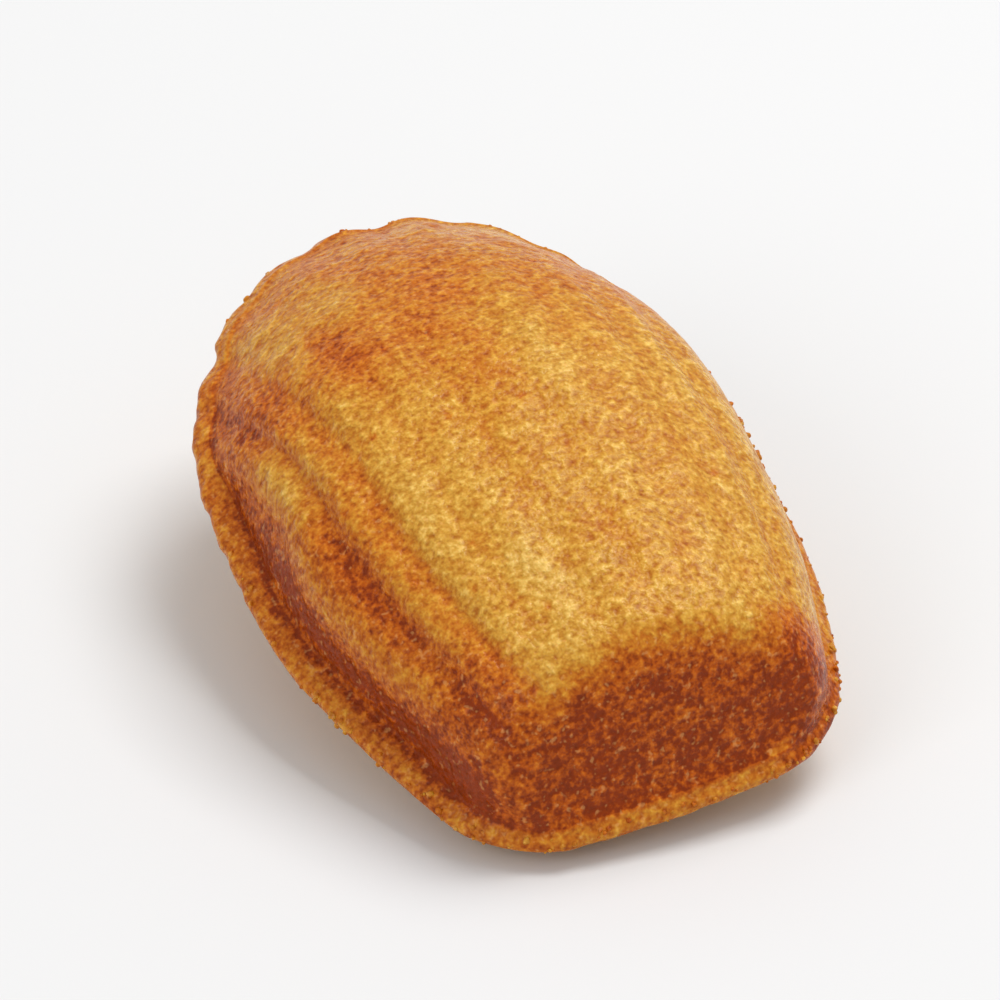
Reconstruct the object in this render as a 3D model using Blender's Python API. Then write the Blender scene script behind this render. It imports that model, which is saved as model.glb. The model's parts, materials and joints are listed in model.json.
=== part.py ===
"""Madeleine cake: one baked piece with a ribbed shell on top, a thin lip round it and a domed hump below.

The cake is worked out level, in a frame of its own: the narrow end's edge lies at y = 0, the round end
at y = LENGTH, and the plane where the lip meets the shell at z = 0. It is then leaned onto its hump,
narrow end down, which is how a madeleine with a high hump comes to rest. All lengths are in metres.
"""

import math

import bmesh
import bpy
import numpy as np
from mathutils import Matrix, Vector

NAME = "shell_cake"

# Plan outline of the lip
LENGTH = 0.0760
NARROW_HALF_WIDTH = 0.0170
WIDEST_HALF_WIDTH = 0.0264
WIDEST_AT = 0.0378
NARROW_CORNER = 0.0070
NARROW_BOW = 0.0012
BOW_HALF_ANGLE = 0.5
ROUND_END_POWER = 1.95
PLAN_CENTRE_Y = 0.0370

# Slight skew of the plan: how far y runs on for each unit across, at the round end
SKEW_ROUND_END = 0.052

# Uneven plan: sizes of its sine and cosine waves, with two, three, four... of them round the cake
PLAN_SINES = (0.0003, 0.0001, 0.0002, 0.0, -0.0002)
PLAN_COSINES = (0.0004, 0.0001, -0.0003, 0.0, -0.0001)

# Lip: its thickness, how far it stands out from the shell, the shell's place on it, the fillet where they
# meet, the bead on its top, its least level width, and the scallops at the ribs' ends
LIP_THICKNESS = 0.0019
LIP_WIDTH_SIDE = 0.0014
LIP_WIDTH_ENDS = 0.0013
SHELL_SHIFT_RIGHT = 0.0004
FACE_BOW_ENDS = 0.022
FILLET_HEIGHT = 0.0007
FILLET_SHARPNESS = 2.5
LIP_BEAD = 0.0003
LIP_FLAT_LEAST = 0.00015
SCALLOP_DEPTH = 0.0009
SCALLOPS_START = 0.054
SCALLOPS_FULL = 0.066
SCALLOP_UNEVENNESS = 0.5
SCALLOP_WAVE = (1.9, 0.7)
SCALLOP_REACH_POWER = 6

# How far the shell's foot lies inside the lip's edge, at the ends and at the sides
SHELL_INSET = (LIP_WIDTH_ENDS, LIP_WIDTH_SIDE)

# Height of the shell along its middle, and the shape of its cross-section
CROWN_HEIGHT = 0.0154
CROWN_AT = 0.0295
CROWN_AT_NARROW_END = 0.0146
CROWN_FALL_POWER = 2.48
CROWN_FALL_ROUNDING = 0.97
SECTION_SIDE_POWER = 2.50
SECTION_SIDE_POWER_AT_FACE = 2.10
SECTION_TOP_POWER = 2.03
SECTION_TOP_POWER_ROUND_END = 1.05
SECTION_CHANGE_START = 0.032
SECTION_CHANGE_FULL = 0.066

# Narrow face: its slope, and how sharply its top edge turns in the middle and at its shoulders
FACE_SLOPE = math.radians(61.5)
FACE_SHARPNESS = 9.0
SHOULDER_SHARPNESS = 3.6
FACE_EDGE_MARGIN = 0.0014

# Ribs: nine of them, each one pitch wide, measured as an angle round the cross-section
RIB_PITCH = math.radians(15.0)
OUTERMOST_CREST = 4.1
OUTERMOST_VALLEY = 5.35
FLANK_BEND_FROM = 2.9
FLANK_BEND = 0.8
FLANK_BEND_START = 0.030
FLANK_BEND_FULL = 0.052
RIB_HEIGHT_CROWN = 0.00028
RIB_HEIGHT_FLANK = 0.0010
RIGHT_FLANK_SHARE = 0.45
RIB_UNEVENNESS = 0.15
FLANK_STARTS_AT_RIB = 1.4
FLANK_FULL_AT_RIB = 3.2
RIBS_START = 0.0050
RIBS_FULL = 0.0160
RIBS_FADE_START = 0.046
RIBS_FADE_FULL = 0.068
RIBS_FADE_SHARE = 0.30
RIB_VALLEY_ROUNDING = 0.20
FAN_WIDENING = 0.0047
FAN_POWER = 1.25

# Hump under the lip
HUMP_DEPTH = 0.0148
HUMP_APEX_Y = 0.0432
HUMP_POWER_ALONG = 1.15
HUMP_POWER_ACROSS = 1.30

# Slow swells of the whole surface, from the uneven rise of the batter
SWELL_HEIGHT = 0.00025
SWELL_LENGTH = 0.017
SWELL_SLANTED_SINES = (  # how fast each turns across and along, against the first sine, and its phase
    (0.5, 0.8, 1.0),
    (-0.9, 0.6, 0.0),
)

# How the cake leans at rest, and how deep its hump is pressed flat there, with a rounded edge
LEAN_NARROW_END_DOWN = math.radians(15.0)
LEAN_LEFT_SIDE_DOWN = math.radians(6.5)
FLAT_SPOT_DEPTH = 0.0015
FLAT_SPOT_ROUNDING = 0.0004

# Mesh density: lines along the ribs, stations along each line, and rings round the lip and the hump
LINES_PER_CROWN_RIB = 4
LINES_PER_FLANK_RIB = 6
LINES_BELOW_RIBS = 4
CROWN_RIBS_END = 1.5
FACE_STATIONS = 9
FACE_STATIONS_LEAST_SHARE = 0.12
SHELL_STATIONS = 28
STATION_CROWDING = 1.5
LIP_TOP_RINGS = 2
LIP_RINGS = 5
HUMP_RINGS = 7
OUTLINE_SAMPLES = 720
BASE_SAMPLES = 90
MERGE_DISTANCE = 1.0e-6

# Keeps divisors off zero
TINY = 1.0e-6


def remove_scene_objects():
    """Empty the scene before the cake is made."""
    for item in list(bpy.data.objects):
        bpy.data.objects.remove(item, do_unlink=True)


def smooth_step(low, high, value):
    """Rise from 0 at low to 1 at high with level ends."""
    t = np.clip((value - low) / (high - low), 0.0, 1.0)
    return t * t * (3.0 - 2.0 * t)


def flare_width(y, inset):
    """Half width of the flaring sides: a quarter sine from the narrow end to the widest place.

    The outline is drawn in by inset, a pair of distances for its ends and for its sides.
    """
    inset_ends, inset_sides = inset
    narrow = NARROW_HALF_WIDTH - inset_ends
    widest = WIDEST_HALF_WIDTH - inset_sides
    rise = np.clip((y - inset_ends) / (WIDEST_AT - inset_ends), 0.0, 1.0)
    return narrow + (widest - narrow) * np.sin(0.5 * np.pi * rise)


def half_width(y, inset):
    """Half width of the plan outline: the flare, a superelliptic round end and rounded narrow corners."""
    first, last = inset[0], LENGTH - inset[0]
    fall = np.clip((y - WIDEST_AT) / (last - WIDEST_AT), 0.0, 1.0)
    round_end = (1.0 - fall**ROUND_END_POWER) ** (1.0 / ROUND_END_POWER)
    radius = NARROW_CORNER - first
    corner = np.clip(1.0 - (y - first) / radius, 0.0, 1.0)
    rounding = radius * (1.0 - np.sqrt(1.0 - corner**2))
    return flare_width(y, inset) * round_end - rounding


def outline_reach(angle, inset):
    """Distance from the plan centre to the outline in each direction, read off a densely drawn outline."""
    first, last = inset[0], LENGTH - inset[0]
    y = first + (last - first) * 0.5 * (1.0 - np.cos(np.linspace(0.0, np.pi, OUTLINE_SAMPLES)))
    x = half_width(y, inset)
    end = np.linspace(0.0, 1.0, BASE_SAMPLES, endpoint=False)
    x = np.concatenate([end * x[0], x])
    y = np.concatenate([np.full_like(end, first), y])
    from_axis = np.arctan2(x, PLAN_CENTRE_Y - y)
    reach = np.hypot(x, y - PLAN_CENTRE_Y)
    return np.interp(np.abs(angle), from_axis, reach)


def narrow_bow(angle):
    """How far the narrow end bows out in a direction from the plan centre: a squared cosine."""
    return NARROW_BOW * np.cos(np.clip(angle / BOW_HALF_ANGLE, -1.0, 1.0) * 0.5 * np.pi) ** 2


def rib_half_width(y):
    """Half width that the ribs share: the flare of the shell, then a fan that widens to the round end."""
    fan = np.clip((y - WIDEST_AT) / (LENGTH - WIDEST_AT), 0.0, 1.0)
    return flare_width(y, SHELL_INSET) + FAN_WIDENING * fan**FAN_POWER


def rib_number(x, y):
    """Signed rib number at a plan point: whole on a rib's crest, a half more in the valley beside it."""
    return np.arcsin(np.clip(x / rib_half_width(y), -1.0, 1.0)) / RIB_PITCH


def rib_wave(number, y):
    """Round-topped ribs with narrow valleys: 1 on a crest, 0 in a valley and beyond the outermost one.

    Past the widest place the outer ribs bend inwards. The outermost one falls slowly to the shell's foot.
    """
    bend = FLANK_BEND * smooth_step(FLANK_BEND_START, FLANK_BEND_FULL, y)
    outer = np.maximum(np.abs(number) - FLANK_BEND_FROM, 0.0)
    bent = np.minimum(np.abs(number), FLANK_BEND_FROM) + outer * (1.0 + bend)
    last_fall = np.clip((bent - OUTERMOST_CREST) / (OUTERMOST_VALLEY - OUTERMOST_CREST), 0.0, 1.0)
    inside = np.minimum(bent, round(OUTERMOST_CREST)) + 0.5 * last_fall
    wave = np.sqrt(np.cos(np.pi * inside) ** 2 + RIB_VALLEY_ROUNDING**2)
    return (wave - RIB_VALLEY_ROUNDING) / (math.hypot(1.0, RIB_VALLEY_ROUNDING) - RIB_VALLEY_ROUNDING)


def rib_depth(number, y):
    """Depth of the valleys: low on the crown, higher on the left flank, fading towards the round end."""
    flank = smooth_step(FLANK_STARTS_AT_RIB, FLANK_FULL_AT_RIB, np.abs(number))
    on_flank = RIB_HEIGHT_FLANK * np.where(number > 0.0, RIGHT_FLANK_SHARE, 1.0)
    height = RIB_HEIGHT_CROWN + (on_flank - RIB_HEIGHT_CROWN) * flank
    uneven = 1.0 + RIB_UNEVENNESS * np.sin(number)
    fade = (1.0 - RIBS_FADE_SHARE) * smooth_step(RIBS_FADE_START, RIBS_FADE_FULL, y)
    return height * uneven * smooth_step(RIBS_START, RIBS_FULL, y) * (1.0 - fade)


def swell(x, y):
    """Slow unevenness of the surface: three sines of different directions, added together."""
    turn = 2.0 * np.pi / SWELL_LENGTH
    waves = np.sin(turn * x)
    for across, along, phase in SWELL_SLANTED_SINES:
        waves = waves + np.sin(turn * (along * y + across * x) + phase)
    return SWELL_HEIGHT * waves / (1 + len(SWELL_SLANTED_SINES))


def crown_height(y):
    """Height of the shell along its middle: a low arch over the narrow half, an elliptic fall beyond."""
    first, last = LIP_WIDTH_ENDS, LENGTH - LIP_WIDTH_ENDS
    ahead = np.clip((CROWN_AT - y) / (CROWN_AT - first), 0.0, 1.0)
    behind = np.clip((y - CROWN_AT) / (last - CROWN_AT), 0.0, 1.0)
    narrow_part = CROWN_HEIGHT - (CROWN_HEIGHT - CROWN_AT_NARROW_END) * ahead**2
    round_part = CROWN_HEIGHT * (1.0 - behind**CROWN_FALL_POWER) ** CROWN_FALL_ROUNDING
    return np.where(y > CROWN_AT, round_part, narrow_part)


def dome_height(across, y):
    """Height of the long dome at a share of its half width.

    It is a superellipse, rounder near the narrow end and with gentler sides towards the round end.
    """
    rounder = (SECTION_SIDE_POWER_AT_FACE - SECTION_SIDE_POWER) * (1.0 - smooth_step(0.0, CROWN_AT, y))
    gentler = SECTION_TOP_POWER_ROUND_END - SECTION_TOP_POWER
    power = SECTION_TOP_POWER + gentler * smooth_step(SECTION_CHANGE_START, SECTION_CHANGE_FULL, y)
    return crown_height(y) * (1.0 - across ** (SECTION_SIDE_POWER + rounder)) ** (1.0 / power)


def shell_height(x, y):
    """Height of the smooth shell over the plan point: the dome, cut off softly by the sloping narrow face.

    The two are joined by a power mean with a negative exponent, which follows the lower of them. The
    exponent falls towards the shoulders, so that the face curves round into the flanks there. A power
    mean with a positive exponent then draws the foot out into a fillet.
    """
    across = np.clip(np.abs(x) / np.maximum(half_width(y, SHELL_INSET), TINY), 0.0, 1.0)
    dome = dome_height(across, y)
    face = np.maximum(y - LIP_WIDTH_ENDS, 0.0) * math.tan(FACE_SLOPE)
    sharpness = FACE_SHARPNESS + (SHOULDER_SHARPNESS - FACE_SHARPNESS) * across**2
    lower, higher = np.minimum(dome, face), np.maximum(dome, face)
    shell = lower * (1.0 + (lower / np.maximum(higher, TINY)) ** sharpness) ** (-1.0 / sharpness)
    return (shell**FILLET_SHARPNESS + FILLET_HEIGHT**FILLET_SHARPNESS) ** (1.0 / FILLET_SHARPNESS)


def line_numbers():
    """Rib numbers of the mesh lines, which run along the ribs from one side of the shell to the other."""
    side = 0.5 * np.pi / RIB_PITCH
    crown = np.arange(0.0, CROWN_RIBS_END, 1.0 / LINES_PER_CROWN_RIB)
    flank = np.arange(CROWN_RIBS_END, OUTERMOST_VALLEY, 1.0 / LINES_PER_FLANK_RIB)
    below = np.linspace(OUTERMOST_VALLEY, side, LINES_BELOW_RIBS)
    half = np.concatenate([crown, flank, below])
    return np.concatenate([-half[:0:-1], half])


def line_ends(share):
    """First and last y inside the outline for the line at each share of the ribs' half width."""
    first, last = LIP_WIDTH_ENDS, LENGTH - LIP_WIDTH_ENDS
    corner = np.linspace(first, first + NARROW_CORNER, OUTLINE_SAMPLES)
    inside = half_width(corner, SHELL_INSET) / rib_half_width(corner)
    start = np.interp(share, inside, corner)
    round_end = np.linspace(last, WIDEST_AT, OUTLINE_SAMPLES)
    inside = half_width(round_end, SHELL_INSET) / rib_half_width(round_end)
    return start, np.interp(share, inside, round_end)


def shell_plan(line, station):
    """Plan point where a line along the ribs meets a station, both counted as whole numbers.

    The first stations share out the narrow face evenly, up to just past its top edge, and the rest
    crowd together towards the round end, where the shell falls steeply.
    """
    number = line_numbers()[line]
    slant = np.sin(number * RIB_PITCH)
    share = np.abs(slant)
    start, end = line_ends(share)
    edge = np.maximum(LIP_WIDTH_ENDS + dome_height(share, start) / math.tan(FACE_SLOPE), start)
    edge = np.maximum(edge + FACE_EDGE_MARGIN, start + (end - start) * FACE_STATIONS_LEAST_SHARE)
    on_face = np.clip(station / FACE_STATIONS, 0.0, 1.0)
    beyond = np.clip((station - FACE_STATIONS) / SHELL_STATIONS, 0.0, 1.0)
    y = start + (edge - start) * on_face + (end - edge) * (1.0 - (1.0 - beyond) ** STATION_CROWDING)
    return slant * rib_half_width(y), y


def shell_points(x, y):
    """Points of the ribbed shell over plan points, sunk towards the middle by the depth of the ribs.

    The face bows out with the lip before it, and the whole shell sits a little to the right on the lip.
    """
    z = shell_height(x, y)
    number = rib_number(x, y)
    radius = np.maximum(np.hypot(x, z), TINY)
    sunk = 1.0 - rib_depth(number, y) * (1.0 - rib_wave(number, y)) / radius
    above_rim = np.clip(z / CROWN_AT_NARROW_END, 0.0, 1.0)
    bow = narrow_bow(np.arctan2(x, PLAN_CENTRE_Y)) * (1.0 - smooth_step(0.0, FACE_BOW_ENDS, y))
    return np.stack([x * sunk + SHELL_SHIFT_RIGHT, y - bow, z * sunk + swell(x, y) * above_rim], axis=-1)


def lip_edge(angle):
    """Reach of the lip from the plan centre, with the narrow end bowed out."""
    return outline_reach(angle, (0.0, 0.0)) + narrow_bow(angle)


def scallop(angle, reach):
    """How far the edge of the round end is drawn in at a direction: uneven dips between the ribs' ends."""
    x = reach * np.sin(angle)
    y = PLAN_CENTRE_Y - reach * np.cos(angle)
    number = rib_number(x, y)
    turns, start = SCALLOP_WAVE
    dip = (1.0 - rib_wave(number, y)) * (1.0 + SCALLOP_UNEVENNESS * np.sin(turns * number + start))
    return SCALLOP_DEPTH * smooth_step(SCALLOPS_START, SCALLOPS_FULL, y) * dip


def lip_edge_points(foot, angle, turn):
    """Points of the lip's half round edge, turn 0 on its top side and turn 1 on its under side.

    The top side keeps clear of the shell's foot.
    """
    radius = 0.5 * LIP_THICKNESS
    reach = lip_edge(angle) - radius + radius * np.sin(np.pi * turn)
    least = np.hypot(foot[..., 0], foot[..., 1] - PLAN_CENTRE_Y) + LIP_FLAT_LEAST
    reach = np.where(turn < 0.5, np.maximum(reach, least), reach)
    z = -radius + radius * np.cos(np.pi * turn)
    return np.stack([reach * np.sin(angle), PLAN_CENTRE_Y - reach * np.cos(angle), z], axis=-1)


def lip_points(foot, angle, ring):
    """Points of the lip: from the shell's foot over the fillet and the bead, then round the edge."""
    share = np.clip(ring / LIP_TOP_RINGS, 0.0, 1.0)[..., None]
    turn = np.clip((ring - LIP_TOP_RINGS) / (LIP_RINGS - LIP_TOP_RINGS), 0.0, 1.0)
    edge = lip_edge_points(foot, angle, turn)
    top = foot + (edge - foot) * share
    rise = FILLET_HEIGHT * (1.0 - share) ** 2 + LIP_BEAD * np.sin(np.pi * share)
    up = np.array([0.0, 0.0, 1.0])
    return np.where(share < 1.0, top * (1.0 - up) + rise * up, edge)


def hump_depth(x, y):
    """Depth of the hump under the lip: a bump across, times a skewed half sine along the cake."""
    across = np.clip(np.abs(x) / np.maximum(half_width(y, (0.0, 0.0)), TINY), 0.0, 1.0)
    skew = math.log(0.5) / math.log(HUMP_APEX_Y / LENGTH)
    along = np.sin(np.pi * np.clip(y / LENGTH, 0.0, 1.0) ** skew) ** HUMP_POWER_ALONG
    bump = along * (1.0 - across**2) ** HUMP_POWER_ACROSS
    return (HUMP_DEPTH + swell(x, y)) * bump


def hump_points(angle, row):
    """Points of the hump, row 0 under the lip's edge and row 1 at its apex."""
    reach = lip_edge(angle) - 0.5 * LIP_THICKNESS
    rest = 1.0 - row
    x = reach * np.sin(angle) * rest
    y = HUMP_APEX_Y + (PLAN_CENTRE_Y - reach * np.cos(angle) - HUMP_APEX_Y) * rest
    return np.stack([x, y, -LIP_THICKNESS - hump_depth(x, y)], axis=-1)


def level_points(line, station, ring):
    """Place every vertex of the level cake.

    Ring 0 is the shell's grid of lines and stations. The rings that follow start from the grid's
    border: first the lip's, then the hump's, the last of which shrinks to the hump's apex.
    """
    x, y = shell_plan(line, station)
    angle = np.arctan2(x, PLAN_CENTRE_Y - y)
    lip = lip_points(shell_points(x, y), angle, np.clip(ring, 0.0, LIP_RINGS))
    hump = hump_points(angle, np.clip((ring - LIP_RINGS) / HUMP_RINGS, 0.0, 1.0))
    below = np.where((ring > LIP_RINGS)[..., None], hump, lip)
    return np.where((ring > 0)[..., None], below, shell_points(x, y))


def uneven(points):
    """Push the plan in and out by its slow waves, draw in the scallops, and skew the round end.

    The push is nothing at the plan centre and full at the edge. The scallops die out just inside the rim.
    """
    angle = np.arctan2(points[:, 0], PLAN_CENTRE_Y - points[:, 1])
    reach = outline_reach(angle, (0.0, 0.0))
    out = np.minimum(np.hypot(points[:, 0], points[:, 1] - PLAN_CENTRE_Y) / reach, 1.0)
    push = sum(size * np.sin(waves * angle) for waves, size in enumerate(PLAN_SINES, 2))
    push += sum(size * np.cos(waves * angle) for waves, size in enumerate(PLAN_COSINES, 2))
    push = push * out**2 - scallop(angle, reach) * out**SCALLOP_REACH_POWER
    skew = SKEW_ROUND_END * np.clip(points[:, 1] / LENGTH, 0.0, 1.0)
    x = points[:, 0] + push * np.sin(angle)
    y = points[:, 1] - push * np.cos(angle) + points[:, 0] * skew
    return np.stack([x, y, points[:, 2]], axis=-1)


def lean_and_settle(points):
    """Lean the level cake, press its hump flat where it rests, and centre its box in plan.

    The pressed height is 0 under the floor, follows a parabola through the rounding and then runs on
    unchanged, so the flat spot has a soft edge.
    """
    lean = Matrix.Rotation(LEAN_NARROW_END_DOWN, 3, "X") @ Matrix.Rotation(-LEAN_LEFT_SIDE_DOWN, 3, "Y")
    leaned = points @ np.array(lean).T
    height = leaned[:, 2] - leaned[:, 2].min() - FLAT_SPOT_DEPTH
    soft = np.clip(height, -FLAT_SPOT_ROUNDING, FLAT_SPOT_ROUNDING) + FLAT_SPOT_ROUNDING
    leaned[:, 2] = np.maximum(height, soft**2 / (4.0 * FLAT_SPOT_ROUNDING))
    middle = 0.5 * (leaned.min(axis=0) + leaned.max(axis=0))
    return leaned - np.array([middle[0], middle[1], 0.0])


def add_rings(form, count):
    """Extrude the sheet's border downwards ring after ring, each one unit below the last."""
    border = [edge for edge in form.edges if edge.is_boundary]
    for _ in range(count):
        grown = bmesh.ops.extrude_edge_only(form, edges=border)["geom"]
        corners = [piece for piece in grown if isinstance(piece, bmesh.types.BMVert)]
        bmesh.ops.translate(form, vec=(0.0, 0.0, -1.0), verts=corners)
        border = [edge for edge in grown if isinstance(edge, bmesh.types.BMEdge) and edge.is_boundary]


def build_cake():
    """Make the cake from a flat grid, the shell, whose border is drawn out into the lip and the hump."""
    lines = len(line_numbers()) - 1
    stations = FACE_STATIONS + SHELL_STATIONS
    mesh = bpy.data.meshes.new(NAME)
    form = bmesh.new()
    bmesh.ops.create_grid(form, x_segments=lines, y_segments=stations, size=1.0)
    add_rings(form, LIP_RINGS + HUMP_RINGS)
    flat = np.array([vertex.co[:] for vertex in form.verts])
    line = np.round(0.5 * (flat[:, 0] + 1.0) * lines).astype(int)
    station = np.round(0.5 * (flat[:, 1] + 1.0) * stations)
    ring = np.round(-flat[:, 2])
    for vertex, place in zip(form.verts, lean_and_settle(uneven(level_points(line, station, ring)))):
        vertex.co = Vector(place)
    bmesh.ops.remove_doubles(form, verts=form.verts, dist=MERGE_DISTANCE)
    bmesh.ops.recalc_face_normals(form, faces=form.faces)
    form.to_mesh(mesh)
    form.free()
    mesh.shade_smooth()
    return bpy.data.objects.new(NAME, mesh)


def crust_material():
    """Golden brown baked crust, dry with a faint gloss."""
    material = bpy.data.materials.new("golden_crust")
    material.use_nodes = True
    shader = material.node_tree.nodes["Principled BSDF"]
    shader.inputs["Base Color"].default_value = (0.56, 0.26, 0.060, 1.0)
    shader.inputs["Roughness"].default_value = 0.55
    shader.inputs["Metallic"].default_value = 0.0
    return material


def main():
    """Build the cake in a collection of its own."""
    remove_scene_objects()
    collection = bpy.data.collections.new("madeleine_cake")
    bpy.context.scene.collection.children.link(collection)
    cake = build_cake()
    cake.data.materials.append(crust_material())
    collection.objects.link(cake)


main()
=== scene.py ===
"""Looks of a madeleine cake: one baked sponge with a ribbed shell, a thin lip and a hump it rests on.

The cake is one closed surface. It is worked out level, with the narrow end's edge at y = 0, the round
end at y = length and the plane of the lip at z = 0, and is then leaned onto its hump. Lengths are in
metres, angles in radians.
"""

import itertools
import json
import logging
import math
from dataclasses import dataclass, field
from enum import Enum
from typing import Union

import bpy
import numpy as np
from mathutils import Matrix, Vector

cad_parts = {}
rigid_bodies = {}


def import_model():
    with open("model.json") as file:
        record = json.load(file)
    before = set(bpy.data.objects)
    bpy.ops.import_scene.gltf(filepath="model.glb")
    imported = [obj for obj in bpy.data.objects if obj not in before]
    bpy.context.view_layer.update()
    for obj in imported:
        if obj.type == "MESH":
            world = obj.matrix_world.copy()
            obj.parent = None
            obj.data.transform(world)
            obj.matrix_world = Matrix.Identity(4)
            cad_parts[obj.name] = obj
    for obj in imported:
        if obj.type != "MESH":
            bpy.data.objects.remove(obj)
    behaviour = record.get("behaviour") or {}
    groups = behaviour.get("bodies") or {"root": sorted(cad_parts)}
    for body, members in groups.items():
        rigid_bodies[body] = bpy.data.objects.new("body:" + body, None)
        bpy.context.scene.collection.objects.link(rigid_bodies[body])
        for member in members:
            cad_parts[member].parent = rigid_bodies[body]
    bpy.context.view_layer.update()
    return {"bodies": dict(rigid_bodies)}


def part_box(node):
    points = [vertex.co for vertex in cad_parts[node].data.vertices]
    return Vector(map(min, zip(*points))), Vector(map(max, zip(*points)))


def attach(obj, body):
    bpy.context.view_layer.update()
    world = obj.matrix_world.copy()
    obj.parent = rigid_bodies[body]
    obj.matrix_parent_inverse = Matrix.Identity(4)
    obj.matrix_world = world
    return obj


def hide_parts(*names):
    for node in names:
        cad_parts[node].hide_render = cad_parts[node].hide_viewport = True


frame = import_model()

LOG = logging.getLogger("madeleine")
NODE = "shell_cake"
SLOT = "golden_crust"
BODY = next(iter(frame["bodies"]))
TINY = 1.0e-6

Array = np.ndarray
Colour = tuple[float, float, float]


class Surface(Enum):
    """The three stretches of the cake's one closed surface."""

    SHELL = 0
    LIP = 1
    HUMP = 2


def smooth_step(low: float, high: float, value: Array) -> Array:
    """Rise from 0 at low to 1 at high along the cubic t * t * (3 - 2 t)."""
    t = np.clip((value - low) / (high - low), 0.0, 1.0)
    return t * t * (3.0 - 2.0 * t)


def bell(centre: float, width: float, value: Array) -> Array:
    """Gaussian bell of height 1 about centre: exp(-((value - centre) / width) squared)."""
    return np.exp(-(((value - centre) / width) ** 2))


def unit(vectors: Array) -> Array:
    """Vectors brought to length 1."""
    return vectors / np.maximum(np.linalg.norm(vectors, axis=-1, keepdims=True), TINY)


@dataclass(frozen=True)
class CubicNoise:
    """Seeded noise on a cubic lattice.

    Attributes:
        size: width of one cell of the lattice.
        seed: start of the random table.
        period: cells after which the table repeats.
    """

    size: float
    seed: int
    period: int = 61

    def table(self, channels: int) -> Array:
        """Random numbers from -1 to 1 for every cell of one period."""
        shape = (self.period,) * 3 + (channels,)
        return np.random.default_rng(self.seed).uniform(-1.0, 1.0, shape)

    def smooth(self, points: Array) -> Array:
        """Gradient noise: at each point, the eight corners' slopes times the way from them, faded.

        Args:
            points: places, one row each.

        Returns:
            One value for each point, mostly between -1 and 1.
        """
        slopes = self.table(3)
        spot = points / self.size
        whole = np.floor(spot).astype(int)
        part = spot - whole
        fade = part**3 * (part * (part * 6.0 - 15.0) + 10.0)
        total = np.zeros(len(points))
        for corner in itertools.product((0, 1), repeat=3):
            cell = (whole + corner) % self.period
            weight = np.prod(np.where(np.array(corner) == 1, fade, 1.0 - fade), axis=-1)
            slope = slopes[cell[:, 0], cell[:, 1], cell[:, 2]]
            total += weight * np.sum(slope * (part - corner), axis=-1)
        return 1.6 * total

    def cells(self, points: Array) -> tuple[Array, Array]:
        """Distance to the nearest of one random place per cell, and that place's own random number.

        Args:
            points: places, one row each.

        Returns:
            The distances in cells, and the numbers from -1 to 1.
        """
        table = self.table(4)
        spot = points / self.size
        whole = np.floor(spot).astype(int)
        nearest = np.full(len(points), np.inf)
        lot = np.zeros(len(points))
        for step in itertools.product((-1, 0, 1), repeat=3):
            near = whole + step
            cell = near % self.period
            drawn = table[cell[:, 0], cell[:, 1], cell[:, 2]]
            gap = np.linalg.norm(near + 0.5 + 0.45 * drawn[:, :3] - spot, axis=-1)
            closer = gap < nearest
            nearest = np.where(closer, gap, nearest)
            lot = np.where(closer, drawn[:, 3], lot)
        return nearest, lot


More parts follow.
